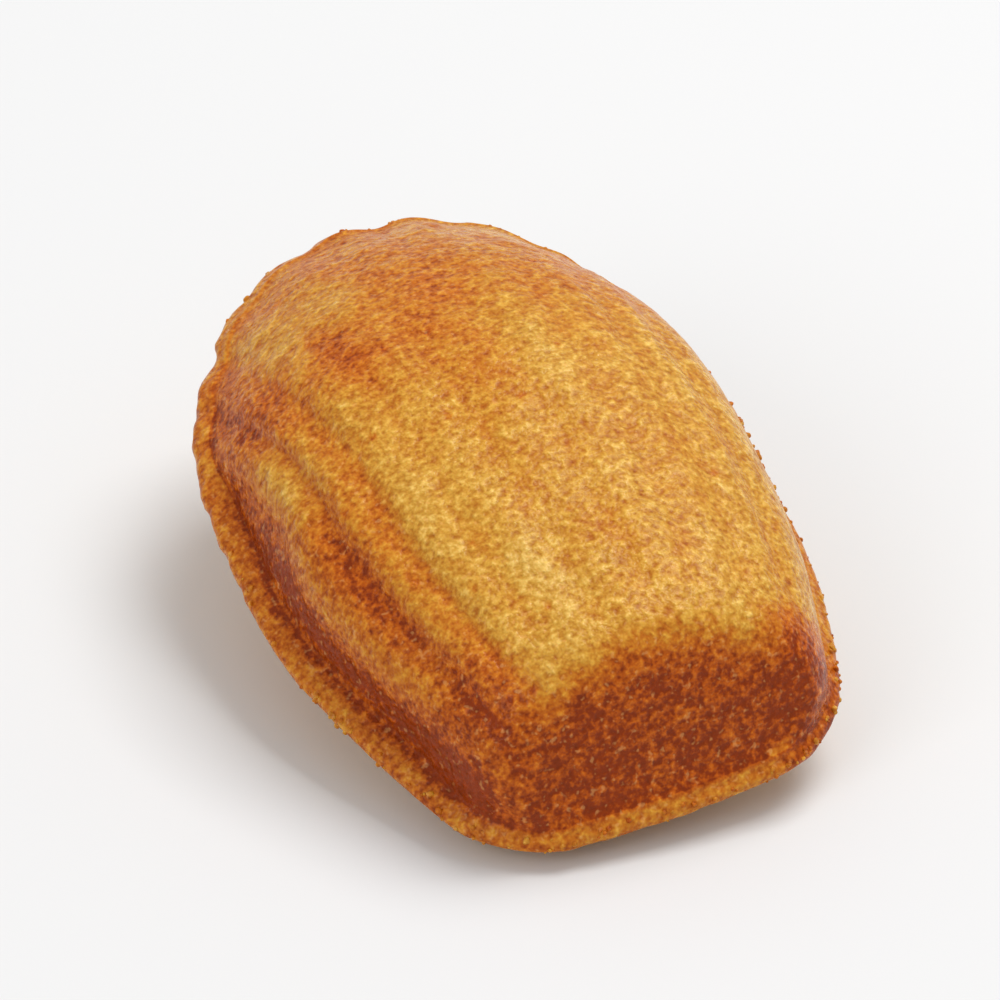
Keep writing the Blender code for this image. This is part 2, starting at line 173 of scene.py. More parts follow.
@dataclass(frozen=True)
class CakeForm:
    """Smooth form of the level cake: the plan outline, the ribbed shell, the lip and the hump."""

    length: float = 0.0760
    narrow_half_width: float = 0.0170
    widest_half_width: float = 0.0264
    widest_at: float = 0.0378
    narrow_corner: float = 0.0070
    narrow_bow: float = 0.0012
    bow_half_angle: float = 0.5
    round_end_power: float = 1.95
    skew_round_end: float = 0.052
    plan_centre: float = 0.0370
    lip_thickness: float = 0.0019
    lip_width_side: float = 0.0014
    lip_width_ends: float = 0.0013
    shell_shift_right: float = 0.0004
    face_bow_ends: float = 0.022
    fillet_height: float = 0.0007
    fillet_sharpness: float = 2.5
    lip_bead: float = 0.0003
    lip_flat_least: float = 0.00015
    plan_sines: tuple[float, ...] = (0.0003, 0.0001, 0.0002, 0.0, -0.0002)
    plan_cosines: tuple[float, ...] = (0.0004, 0.0001, -0.0003, 0.0, -0.0001)
    scallop_depth: float = 0.0009
    scallops_start: float = 0.054
    scallops_full: float = 0.066
    scallop_unevenness: float = 0.5
    scallop_wave: tuple[float, float] = (1.9, 0.7)
    scallop_reach_power: int = 6
    crown_height: float = 0.0154
    crown_at: float = 0.0295
    crown_at_narrow_end: float = 0.0146
    crown_fall_power: float = 2.48
    crown_fall_rounding: float = 0.97
    side_power: float = 2.50
    side_power_at_face: float = 2.10
    top_power: float = 2.03
    top_power_round_end: float = 1.05
    section_change_start: float = 0.032
    section_change_full: float = 0.066
    face_slope: float = math.radians(61.5)
    face_sharpness: float = 9.0
    shoulder_sharpness: float = 3.6
    face_edge_margin: float = 0.0014
    rib_pitch: float = math.radians(15.0)
    outermost_crest: float = 4.1
    outermost_valley: float = 5.35
    flank_bend_from: float = 2.9
    flank_bend: float = 0.8
    flank_bend_start: float = 0.030
    flank_bend_full: float = 0.052
    rib_height_crown: float = 0.00028
    rib_height_flank: float = 0.0010
    rib_unevenness: float = 0.15
    flank_starts_at_rib: float = 1.4
    flank_full_at_rib: float = 3.2
    right_flank_share: float = 0.45
    ribs_start: float = 0.0050
    ribs_full: float = 0.0160
    ribs_fade_start: float = 0.046
    ribs_fade_full: float = 0.068
    ribs_fade_share: float = 0.30
    rib_valley_rounding: float = 0.20
    fan_widening: float = 0.0047
    fan_power: float = 1.25
    hump_height: float = 0.0148
    hump_apex: float = 0.0432
    hump_power_along: float = 1.15
    hump_power_across: float = 1.30
    swell_height: float = 0.00025
    swell_length: float = 0.017
    lean_narrow_end_down: float = math.radians(15.0)
    lean_left_side_down: float = math.radians(6.5)
    flat_spot_depth: float = 0.0015
    flat_spot_rounding: float = 0.0004
    samples: int = 720

    @property
    def shell_inset(self) -> tuple[float, float]:
        """How far the shell's foot lies inside the lip's edge, at the ends and at the sides."""
        return self.lip_width_ends, self.lip_width_side

    def flare_width(self, y: Array, inset: tuple[float, float]) -> Array:
        """Half width of the flaring sides: a quarter sine from the narrow end to the widest place."""
        narrow = self.narrow_half_width - inset[0]
        widest = self.widest_half_width - inset[1]
        rise = np.clip((y - inset[0]) / (self.widest_at - inset[0]), 0.0, 1.0)
        return narrow + (widest - narrow) * np.sin(0.5 * np.pi * rise)

    def half_width(self, y: Array, inset: tuple[float, float]) -> Array:
        """Half width of the plan: the flare times a superelliptic round end, less rounded corners.

        Args:
            y: places along the cake.
            inset: how far the outline is drawn in at its ends and at its sides.

        Returns:
            The half width at each place.
        """
        first, last = inset[0], self.length - inset[0]
        fall = np.clip((y - self.widest_at) / (last - self.widest_at), 0.0, 1.0)
        round_end = (1.0 - fall**self.round_end_power) ** (1.0 / self.round_end_power)
        radius = self.narrow_corner - first
        corner = np.clip(1.0 - (y - first) / radius, 0.0, 1.0)
        rounding = radius * (1.0 - np.sqrt(1.0 - corner**2))
        return self.flare_width(y, inset) * round_end - rounding

    def outline_reach(self, angle: Array) -> Array:
        """Distance from the plan centre to the outer outline in each direction, by interpolation.

        Args:
            angle: directions in plan, 0 towards the narrow end.

        Returns:
            The distances.
        """
        y = self.length * 0.5 * (1.0 - np.cos(np.linspace(0.0, np.pi, self.samples)))
        x = self.half_width(y, (0.0, 0.0))
        end = np.linspace(0.0, 1.0, self.samples // 8, endpoint=False)
        x = np.concatenate([end * x[0], x])
        y = np.concatenate([np.zeros_like(end), y])
        reach = np.hypot(x, y - self.plan_centre)
        return np.interp(np.abs(angle), np.arctan2(x, self.plan_centre - y), reach)

    def bow(self, angle: Array) -> Array:
        """How far the narrow end bows out in a direction from the plan centre: a squared cosine."""
        return self.narrow_bow * np.cos(np.clip(angle / self.bow_half_angle, -1.0, 1.0) * 0.5 * np.pi) ** 2

    def rib_half_width(self, y: Array) -> Array:
        """Half width that the ribs share: the shell's flare, plus a fan that opens to the round end."""
        fan = np.clip((y - self.widest_at) / (self.length - self.widest_at), 0.0, 1.0)
        return self.flare_width(y, self.shell_inset) + self.fan_widening * fan**self.fan_power

    def rib_number(self, x: Array, y: Array) -> Array:
        """Signed rib number at a plan point: whole on a crest, a half more in the valley beside it."""
        return np.arcsin(np.clip(x / self.rib_half_width(y), -1.0, 1.0)) / self.rib_pitch

    def rib_wave(self, number: Array, y: Array) -> Array:
        """Rounded size of the cosine of pi times the bent number: 1 on a crest and 0 in a valley.

        The outer ribs bend inwards past the widest place, and the outermost one falls slowly to the foot.

        Args:
            number: rib numbers.
            y: places along.

        Returns:
            The wave.
        """
        bend = self.flank_bend * smooth_step(self.flank_bend_start, self.flank_bend_full, y)
        outer = np.maximum(np.abs(number) - self.flank_bend_from, 0.0)
        bent = np.minimum(np.abs(number), self.flank_bend_from) + outer * (1.0 + bend)
        last_fall = (bent - self.outermost_crest) / (self.outermost_valley - self.outermost_crest)
        inside = np.minimum(bent, round(self.outermost_crest)) + 0.5 * np.clip(last_fall, 0.0, 1.0)
        low = self.rib_valley_rounding
        wave = np.sqrt(np.cos(np.pi * inside) ** 2 + low**2)
        return (wave - low) / (math.hypot(1.0, low) - low)

    def rib_depth(self, number: Array, y: Array) -> Array:
        """Depth of the valleys: low on the crown and the right flank, fading towards the round end."""
        flank = smooth_step(self.flank_starts_at_rib, self.flank_full_at_rib, np.abs(number))
        high = self.rib_height_flank * np.where(number > 0.0, self.right_flank_share, 1.0)
        height = self.rib_height_crown + (high - self.rib_height_crown) * flank
        uneven = 1.0 + self.rib_unevenness * np.sin(number)
        fade = (1.0 - self.ribs_fade_share) * smooth_step(self.ribs_fade_start, self.ribs_fade_full, y)
        return height * uneven * smooth_step(self.ribs_start, self.ribs_full, y) * (1.0 - fade)

    def swell(self, x: Array, y: Array) -> Array:
        """Slow unevenness of the surface: the mean of three sines of different directions."""
        turn = 2.0 * np.pi / self.swell_length
        waves = np.sin(turn * x) + np.sin(turn * (0.8 * y + 0.5 * x) + 1.0)
        return self.swell_height * (waves + np.sin(turn * (0.6 * y - 0.9 * x))) / 3.0

    def crown(self, y: Array) -> Array:
        """Height along the middle: a low arch over the narrow half, an elliptic fall beyond it."""
        first, last = self.lip_width_ends, self.length - self.lip_width_ends
        ahead = np.clip((self.crown_at - y) / (self.crown_at - first), 0.0, 1.0)
        behind = np.clip((y - self.crown_at) / (last - self.crown_at), 0.0, 1.0)
        arch = self.crown_height - (self.crown_height - self.crown_at_narrow_end) * ahead**2
        fall = self.crown_height * (1.0 - behind**self.crown_fall_power) ** self.crown_fall_rounding
        return np.where(y > self.crown_at, fall, arch)

    def dome(self, across: Array, y: Array) -> Array:
        """Height at a share of the half width: the crown times a superellipse that eases at both ends."""
        rounder = (self.side_power_at_face - self.side_power) * (1.0 - smooth_step(0.0, self.crown_at, y))
        gentler = self.top_power_round_end - self.top_power
        power = self.top_power + gentler * smooth_step(self.section_change_start, self.section_change_full, y)
        return self.crown(y) * (1.0 - across ** (self.side_power + rounder)) ** (1.0 / power)

    def shell_height(self, x: Array, y: Array) -> Array:
        """Height of the smooth shell: a power mean that follows the lower of dome and narrow face.

        A second power mean, which follows the higher, draws the foot out into a fillet.

        Args:
            x: plan places across.
            y: plan places along.

        Returns:
            The heights, joined more softly towards the shoulders.
        """
        half = np.maximum(self.half_width(y, self.shell_inset), TINY)
        across = np.clip(np.abs(x) / half, 0.0, 1.0)
        dome = self.dome(across, y)
        face = np.maximum(y - self.lip_width_ends, 0.0) * math.tan(self.face_slope)
        sharpness = self.face_sharpness + (self.shoulder_sharpness - self.face_sharpness) * across**2
        lower, higher = np.minimum(dome, face), np.maximum(dome, face)
        shell = lower * (1.0 + (lower / np.maximum(higher, TINY)) ** sharpness) ** (-1.0 / sharpness)
        return (shell**self.fillet_sharpness + self.fillet_height**self.fillet_sharpness) ** (
            1.0 / self.fillet_sharpness
        )

    def shell_points(self, x: Array, y: Array) -> Array:
        """Points of the ribbed shell, sunk towards the middle by rib depth times (1 - rib wave).

        The face bows out with the lip before it, and the whole shell sits a little to the right.

        Args:
            x: plan places across.
            y: plan places along.

        Returns:
            The points.
        """
        z = self.shell_height(x, y)
        number = self.rib_number(x, y)
        radius = np.maximum(np.hypot(x, z), TINY)
        sunk = 1.0 - self.rib_depth(number, y) * (1.0 - self.rib_wave(number, y)) / radius
        above = np.clip(z / self.crown_at_narrow_end, 0.0, 1.0)
        ahead = 1.0 - smooth_step(0.0, self.face_bow_ends, y)
        along = y - ahead * self.bow(np.arctan2(x, self.plan_centre))
        return np.stack([x * sunk + self.shell_shift_right, along, z * sunk + self.swell(x, y) * above], axis=-1)

    def lip_reach(self, angle: Array) -> Array:
        """Reach of the lip's edge: the outline and the narrow end's bow."""
        return self.outline_reach(angle) + self.bow(angle)

    def scallop(self, angle: Array, reach: Array) -> Array:
        """How far the round end's edge is drawn in: depth times (1 - rib wave), uneven from rib to rib.

        Args:
            angle: directions in plan.
            reach: distances of the edge from the plan centre.

        Returns:
            The distances drawn in.
        """
        y = self.plan_centre - reach * np.cos(angle)
        number = self.rib_number(reach * np.sin(angle), y)
        turns, start = self.scallop_wave
        dip = (1.0 - self.rib_wave(number, y)) * (1.0 + self.scallop_unevenness * np.sin(turns * number + start))
        return self.scallop_depth * smooth_step(self.scallops_start, self.scallops_full, y) * dip

    def lip_rise(self, share: Array) -> Array:
        """Height of the lip's top from foot to edge: a fillet that falls as a square, and a half sine."""
        return self.fillet_height * (1.0 - share) ** 2 + self.lip_bead * np.sin(np.pi * share)

    def lip_points(self, foot: Array, angle: Array, turn: Union[Array, float]) -> Array:
        """Points of the lip's half round edge, whose top side keeps clear of the shell's foot.

        Args:
            foot: points of the shell's foot.
            angle: their directions in plan.
            turn: 0 on the top side to 1 on the under side.

        Returns:
            The points.
        """
        radius = 0.5 * self.lip_thickness
        angle, turn = np.broadcast_arrays(angle, turn)
        reach = self.lip_reach(angle) - radius + radius * np.sin(np.pi * turn)
        least = np.hypot(foot[:, 0], foot[:, 1] - self.plan_centre) + self.lip_flat_least
        reach = np.where(turn < 0.5, np.maximum(reach, least), reach)
        z = -radius + radius * np.cos(np.pi * turn)
        y = self.plan_centre - reach * np.cos(angle)
        return np.stack([reach * np.sin(angle), y, z], axis=-1)

    def hump_points(self, x: Array, y: Array) -> Array:
        """Points of the hump: below the lip by a skewed half sine along times a bump across."""
        across = np.clip(np.abs(x) / np.maximum(self.half_width(y, (0.0, 0.0)), TINY), 0.0, 1.0)
        skew = math.log(0.5) / math.log(self.hump_apex / self.length)
        share = np.clip(y / self.length, 0.0, 1.0)
        along = np.sin(np.pi * share**skew) ** self.hump_power_along
        bump = along * (1.0 - across**2) ** self.hump_power_across
        depth = (self.hump_height + self.swell(x, y)) * bump
        return np.stack([x, y, -self.lip_thickness - depth], axis=-1)

    def uneven(self, points: Array) -> Array:
        """Level points whose plan is pushed in and out by slow waves, scalloped, and skewed a little.

        The push is a sum of sines and cosines round the cake, times the square of the nearness to the
        edge, less the scallops times a high power of it.

        Args:
            points: level points.

        Returns:
            The uneven points.
        """
        angle = np.arctan2(points[:, 0], self.plan_centre - points[:, 1])
        reach = self.outline_reach(angle)
        out = np.minimum(np.hypot(points[:, 0], points[:, 1] - self.plan_centre) / reach, 1.0)
        push = sum(size * np.sin(waves * angle) for waves, size in enumerate(self.plan_sines, 2))
        push += sum(size * np.cos(waves * angle) for waves, size in enumerate(self.plan_cosines, 2))
        push = push * out**2 - self.scallop(angle, reach) * out**self.scallop_reach_power
        skew = self.skew_round_end * np.clip(points[:, 1] / self.length, 0.0, 1.0)
        x = points[:, 0] + push * np.sin(angle)
        y = points[:, 1] - push * np.cos(angle) + points[:, 0] * skew
        return np.stack([x, y, points[:, 2]], axis=-1)

    def leaned(self, points: Array) -> Array:
        """Points turned narrow end down about x and left side down about y."""
        lean = Matrix.Rotation(self.lean_narrow_end_down, 3, "X")
        lean = lean @ Matrix.Rotation(-self.lean_left_side_down, 3, "Y")
        return points @ np.array(lean).T

    def settled(self, points: Array, low: Vector, high: Vector) -> Array:
        """Press leaned points flat where they rest, and centre them in plan over the given box.

        The pressed height is 0 under the floor, a parabola through the rounding, and then unchanged.

        Args:
            points: leaned points.
            low: lowest corner of the box that the cake stands in.
            high: its highest corner.

        Returns:
            The settled points.
        """
        height = points[:, 2] - points[:, 2].min() - self.flat_spot_depth
        edge = self.flat_spot_rounding
        soft = np.clip(height, -edge, edge) + edge
        pressed = np.maximum(height, soft**2 / (4.0 * edge))
        middle = 0.5 * (points.min(axis=0) + points.max(axis=0))
        wanted = 0.5 * (low + high)
        shift = np.array([wanted.x - middle[0], wanted.y - middle[1]])
        return np.column_stack([points[:, :2] + shift, pressed + low.z])


@dataclass(frozen=True)
class Weave:
    """Numbering of the surface: the shell's grid, rings round the lip, and the hump's grid.

    Attributes:
        lines: grid lines along the ribs.
        stations: stations along each line.
        face_stations: how many of them share out the narrow face.
        face_least: least share of a line that they take.
        crowding: power by which the rest crowd together at the round end.
        flat_rings: rings on the level part of the lip.
        edge_rings: rings round its edge.
    """

    lines: int = 221
    stations: int = 197
    face_stations: int = 40
    face_least: float = 0.12
    crowding: float = 1.5
    flat_rings: int = 8
    edge_rings: int = 8

    def plan(self, form: CakeForm) -> tuple[Array, Array]:
        """Plan points of the grid: lines at even rib numbers, stations over the face and beyond it.

        Args:
            form: the cake's form.

        Returns:
            x and y, one row for each line.
        """
        number = np.linspace(-0.5 * np.pi, 0.5 * np.pi, self.lines) / form.rib_pitch
        slant = np.sin(number * form.rib_pitch)[:, None]
        share = np.abs(slant)
        first, last = form.lip_width_ends, form.length - form.lip_width_ends
        corner = np.linspace(first, first + form.narrow_corner, form.samples)
        inside = form.half_width(corner, form.shell_inset) / form.rib_half_width(corner)
        start = np.interp(share, inside, corner)
        end_zone = np.linspace(last, form.widest_at, form.samples)
        inside = form.half_width(end_zone, form.shell_inset) / form.rib_half_width(end_zone)
        end = np.interp(share, inside, end_zone)
        edge = first + form.dome(share, start) / math.tan(form.face_slope)
        edge = np.maximum(edge, start) + form.face_edge_margin
        edge = np.maximum(edge, start + (end - start) * self.face_least)
        station = np.arange(self.stations)[None, :]
        on_face = np.clip(station / self.face_stations, 0.0, 1.0)
        rest = self.stations - 1 - self.face_stations
        beyond = np.clip((station - self.face_stations) / rest, 0.0, 1.0)
        y = start + (edge - start) * on_face + (end - edge) * (1.0 - (1.0 - beyond) ** self.crowding)
        return slant * form.rib_half_width(y), y

    def border(self) -> tuple[Array, Array]:
        """Lines and stations of the grid's border, in order round it from the narrow end."""
        line, station = np.arange(self.lines), np.arange(self.stations)
        lines = [line[:-1], np.full(self.stations - 1, self.lines - 1)]
        lines += [line[:0:-1], np.zeros(self.stations - 1, int)]
        stations = [np.zeros(self.lines - 1, int), station[:-1]]
        stations += [np.full(self.lines - 1, self.stations - 1), station[:0:-1]]
        return np.concatenate(lines), np.concatenate(stations)

    def quads(self) -> Array:
        """Corners of every face: the shell's grid, the rings, and the hump's grid turned over."""
        shell = np.arange(self.lines * self.stations).reshape(self.lines, self.stations)
        lines, stations = self.border()
        count = len(lines)
        rings = self.flat_rings + self.edge_rings
        ring = shell.size + np.arange(rings * count).reshape(rings, count)
        ring = np.vstack([shell[lines, stations][None, :], ring])
        hump = np.empty_like(shell)
        inner = (self.lines - 2) * (self.stations - 2)
        start = shell.size + rings * count
        hump[1:-1, 1:-1] = (start + np.arange(inner)).reshape(self.lines - 2, self.stations - 2)
        hump[lines, stations] = ring[-1]
        round_about = np.roll(ring, -1, axis=1)
        band = [ring[:-1], ring[1:], round_about[1:], round_about[:-1]]
        return np.vstack([self.sheet(shell), self.stacked(band), self.sheet(hump)[:, ::-1]])

    def sheet(self, index: Array) -> Array:
        """Faces of a grid of vertex numbers, wound so that they face upwards."""
        return self.stacked([index[:-1, :-1], index[1:, :-1], index[1:, 1:], index[:-1, 1:]])

    @staticmethod
    def stacked(corners: list[Array]) -> Array:
        """Four arrays of corners as rows of four."""
        return np.stack([corner.ravel() for corner in corners], axis=-1)


@dataclass
class Crust:
    """The cake's surface, vertex by vertex, while it is being worked out.

    Attributes:
        points: places of the vertices.
        level: their places before the cake was leaned.
        number: rib number at the nearest place of the shell.
        turn: -1 on the shell, rising to 0 over the lip's top and to 1 round its edge, 1 on the hump.
        surface: which stretch each vertex belongs to.
        quads: corners of the faces.
    """

    points: Array
    level: Array
    number: Array
    turn: Array
    surface: Array
    quads: Array

    def on(self, surface: Surface) -> Array:
        """1 where the vertex belongs to the stretch, else 0."""
        return (self.surface == surface.value).astype(float)

    def soften(self, passes: int, share: float = 0.5) -> None:
        """Move each vertex a share of the way to the mean of its neighbours, pass after pass."""
        pairs = np.vstack([self.quads[:, [0, 1]], self.quads[:, [1, 2]]])
        pairs = np.vstack([pairs, self.quads[:, [2, 3]], self.quads[:, [3, 0]]])
        count = np.bincount(pairs[:, 0], minlength=len(self.points))[:, None]
        for _ in range(passes):
            total = np.stack([self.gathered(pairs, axis) for axis in range(3)], axis=-1)
            self.points = self.points + share * (total / count - self.points)

    def gathered(self, pairs: Array, axis: int) -> Array:
        """Sum of the neighbours' coordinates on one axis."""
        return np.bincount(pairs[:, 0], weights=self.points[pairs[:, 1], axis], minlength=len(self.points))

    def normals(self) -> Array:
        """Outward directions: the cross products of the faces' diagonals, summed at each vertex."""
        corners = self.points[self.quads]
        facing = np.cross(corners[:, 2] - corners[:, 0], corners[:, 3] - corners[:, 1])
        total = np.zeros_like(self.points)
        for axis, corner in itertools.product(range(3), range(4)):
            spread = np.bincount(self.quads[:, corner], weights=facing[:, axis], minlength=len(total))
            total[:, axis] += spread
        return unit(total)


@dataclass(frozen=True)
class CrustRelief:
    """Unevenness of the baked surface: slow lumps, fine lumps, open pores and a ragged lip."""

    lump: CubicNoise = CubicNoise(0.0042, 11)
    lump_height: float = 0.00012
    knob: CubicNoise = CubicNoise(0.0016, 12)
    knob_height: float = 0.00007
    grain: CubicNoise = CubicNoise(0.0009, 13)
    grain_height: float = 0.00005
    pore: CubicNoise = CubicNoise(0.0024, 14)
    pore_width: float = 0.00045
    pore_depth: float = 0.00014
    pore_share: float = 0.22
    rag: CubicNoise = CubicNoise(0.0019, 15)
    rag_reach: float = 0.00022
    softening: int = 11

    def pores(self, points: Array) -> Array:
        """How deep in a pore each point lies: a round-bottomed dimple about some of the cells' places."""
        gap, lot = self.pore.cells(points)
        width = self.pore_width * (0.7 + 0.6 * np.abs(lot)) / self.pore.size
        open_pore = (lot > 1.0 - 2.0 * self.pore_share).astype(float)
        return open_pore * np.clip(1.0 - (gap / width) ** 2, 0.0, 1.0)

    def apply(self, crust: Crust) -> Array:
        """Push the surface in and out along its own directions.

        The height is the sum of three noises and the ragged edge of the lip, less the pores.

        Args:
            crust: the surface, changed in place.

        Returns:
            How deep in a pore each vertex lies.
        """
        crust.soften(self.softening)
        edge = np.sin(np.pi * np.maximum(crust.turn, 0.0)) * crust.on(Surface.LIP)
        pores = self.pores(crust.points) * (1.0 - edge)
        height = self.lump_height * self.lump.smooth(crust.points)
        height += self.knob_height * self.knob.smooth(crust.points)
        height += self.grain_height * self.grain.smooth(crust.points)
        height += self.rag_reach * edge * self.rag.smooth(crust.points)
        height -= self.pore_depth * pores
        crust.points = crust.points + crust.normals() * height[:, None]
        return pores


@dataclass(frozen=True)
class Blotch:
    """A paler or browner blotch of the shell.

    Attributes:
        number: rib number of its middle.
        y: place of its middle along the cake.
        width: half width, in ribs.
        length: half length.
        tone: browning that it adds in its middle.
    """

    number: float
    y: float
    width: float
    length: float
    tone: float

    def spread(self, number: Array, y: Array) -> Array:
        """The tone times a bell across the ribs and a bell along them."""
        return self.tone * bell(self.number, self.width, number) * bell(self.y, self.length, y)


@dataclass(frozen=True)
class Baking:
    """How brown the crust is from place to place, from 0 for pale straw to 1 for dark brown."""

    crown: float = 0.27
    crown_valley: float = 0.06
    left_flank: float = 0.25
    left_valley: float = 0.28
    valley_fade: float = 0.6
    left_starts_at_rib: float = 1.9
    left_full_at_rib: float = 3.2
    groove: float = 0.30
    groove_width: float = 0.55
    corner_shade: float = 0.30
    corner_full: float = 0.008
    corner_ends: float = 0.020
    right_corner_shade: float = 0.62
    right_corner_full: float = 0.006
    right_corner_ends: float = 0.012
    round_end: float = 0.26
    round_end_starts: float = 0.037
    round_end_full: float = 0.056
    face: float = 0.95
    face_right_corner: float = 1.05
    face_edge_below: float = 0.0038
    face_edge_above: float = 0.0008
    round_rim: float = 0.10
    rim_width: float = 0.0035
    lip: float = 0.50
    lip_left: float = 0.12
    lip_right_corner: float = 0.34
    lip_groove_left: float = 0.42
    lip_groove_front: float = 0.26
    lip_groove_starts: float = 0.10
    hump: float = 0.26
    hump_middle: float = 0.14
    blotches: tuple[Blotch, ...] = (
        Blotch(-2.1, 0.059, 0.65, 0.007, -0.18),
        Blotch(-1.0, 0.061, 0.5, 0.005, -0.12),
        Blotch(0.0, 0.059, 0.6, 0.005, 0.16),
        Blotch(-1.5, 0.052, 0.4, 0.005, 0.28),
        Blotch(-3.6, 0.043, 0.6, 0.007, -0.34),
        Blotch(0.0, 0.043, 0.5, 0.005, 0.14),
        Blotch(-4.4, 0.052, 0.8, 0.006, 0.14),
        Blotch(2.0, 0.064, 1.0, 0.007, -0.12),
        Blotch(-2.0, 0.068, 0.5, 0.003, 0.14),
        Blotch(-3.8, 0.029, 0.5, 0.011, 0.24),
        Blotch(-1.9, 0.030, 0.35, 0.008, -0.14),
        Blotch(-1.0, 0.018, 0.45, 0.005, -0.14),
        Blotch(0.9, 0.046, 0.4, 0.008, -0.15),
        Blotch(-0.4, 0.034, 0.4, 0.009, 0.09),
        Blotch(0.4, 0.020, 0.5, 0.006, 0.06),
        Blotch(1.9, 0.026, 0.5, 0.008, 0.06),
    )

    def on_left_flank(self, number: Array) -> Array:
        """0 on the crown and the right, rising to 1 over the left flank's first ribs."""
        return smooth_step(self.left_starts_at_rib, self.left_full_at_rib, -number)

    def on_right_corner(self, number: Array, y: Array) -> Array:
        """1 on the outermost rib on the right where it meets the narrow face, falling to 0 around it."""
        near = 1.0 - smooth_step(self.right_corner_full, self.right_corner_ends, y)
        return smooth_step(2.0, 3.5, number) * near

    def shell_tone(self, number: Array, y: Array, form: CakeForm) -> Array:
        """Browning of the shell beyond its narrow face.

        It is the crown's, plus valleys and flank on the left, the left groove and corner, the round end,
        and the blotches.

        Args:
            number: rib numbers.
            y: places along.
            form: the cake's form.

        Returns:
            One value for each place.
        """
        left = self.on_left_flank(number)
        dip = 1.0 - form.rib_wave(number, y)
        dip *= 1.0 - self.valley_fade * smooth_step(self.round_end_starts, self.round_end_full, y)
        tone = self.crown + dip * (self.crown_valley + (self.left_valley - self.crown_valley) * left)
        tone += self.left_flank * left
        tone += self.groove * bell(-form.outermost_valley, self.groove_width, number)
        tone += self.corner_shade * left * (1.0 - smooth_step(self.corner_full, self.corner_ends, y))
        tone += self.right_corner_shade * self.on_right_corner(number, y)
        tone += self.round_end * smooth_step(self.round_end_starts, self.round_end_full, y)
        return tone + sum(blotch.spread(number, y) for blotch in self.blotches)

    def browning(self, crust: Crust, form: CakeForm) -> Array:
        """Browning of each vertex: shell, narrow face with its paler right corner, rim, lip and hump.

        Args:
            crust: the surface.
            form: the cake's form.

        Returns:
            One value for each vertex.
        """
        x, y, z = crust.level.T
        number = crust.number
        tone = self.shell_tone(number, y, form)
        half = np.maximum(form.half_width(y, form.shell_inset), TINY)
        dome = form.dome(np.clip(np.abs(x) / half, 0.0, 1.0), y)
        past_edge = y - form.lip_width_ends - dome / math.tan(form.face_slope)
        on_face = 1.0 - smooth_step(-self.face_edge_below, self.face_edge_above, past_edge)
        face = self.face + (self.face_right_corner - self.face) * smooth_step(2.2, 3.6, number)
        tone += (face - tone) * on_face
        tone += self.round_rim * (1.0 - smooth_step(0.0, self.rim_width, form.length - y))
        inward = smooth_step(self.lip_groove_starts, 1.0, -crust.turn)
        groove = self.lip_groove_left * self.on_left_flank(number)
        groove = np.maximum(groove, self.lip_groove_front * (1.0 - smooth_step(0.002, 0.006, y)))
        groove *= 1.0 - smooth_step(self.round_end_starts, self.round_end_full, y)
        edge = self.lip + self.lip_left * self.on_left_flank(number) + groove * inward
        edge += self.lip_right_corner * self.on_right_corner(number, y)
        shell, lip, hump = (crust.on(part) for part in Surface)
        under = self.hump + self.hump_middle * np.clip(-z / (form.lip_thickness + form.hump_height), 0.0, 1.0)
        return shell * tone + lip * edge + hump * under


@dataclass
class Value:
    """One output of a material's nodes, whose arithmetic adds Math nodes."""

    bench: "Bench"
    socket: bpy.types.NodeSocket

    def math(self, operation: str, *values: Union["Value", float]) -> "Value":
        """A Math node of the operation on the values."""
        return self.bench.make("ShaderNodeMath", {"operation": operation}, dict(enumerate(values)))

    def __add__(self, other: Union["Value", float]) -> "Value":
        """Sum."""
        return self.math("ADD", self, other)

    def __radd__(self, other: float) -> "Value":
        """Sum with a number first."""
        return self.math("ADD", other, self)

    def __sub__(self, other: Union["Value", float]) -> "Value":
        """Difference."""
        return self.math("SUBTRACT", self, other)

    def __rsub__(self, other: float) -> "Value":
        """Difference from a number."""
        return self.math("SUBTRACT", other, self)

    def __mul__(self, other: Union["Value", float]) -> "Value":
        """Product."""
        return self.math("MULTIPLY", self, other)

    def __rmul__(self, other: float) -> "Value":
        """Product with a number first."""
        return self.math("MULTIPLY", other, self)

    def __truediv__(self, other: Union["Value", float]) -> "Value":
        """Quotient."""
        return self.math("DIVIDE", self, other)

    def __pow__(self, other: Union["Value", float]) -> "Value":
        """Power."""
        return self.math("POWER", self, other)

    def rise(self, low: float, high: float) -> "Value":
        """0 at low to 1 at high in a straight line, held level beyond them."""
        settings = {"interpolation_type": "LINEAR", "clamp": True}
        return self.bench.make("ShaderNodeMapRange", settings, {0: self, 1: low, 2: high, 3: 0.0, 4: 1.0})

    def smooth_rise(self, low: float, high: float) -> "Value":
        """0 at low to 1 at high along a smooth step."""
        settings = {"interpolation_type": "SMOOTHSTEP", "clamp": True}
        return self.bench.make("ShaderNodeMapRange", settings, {0: self, 1: low, 2: high, 3: 0.0, 4: 1.0})


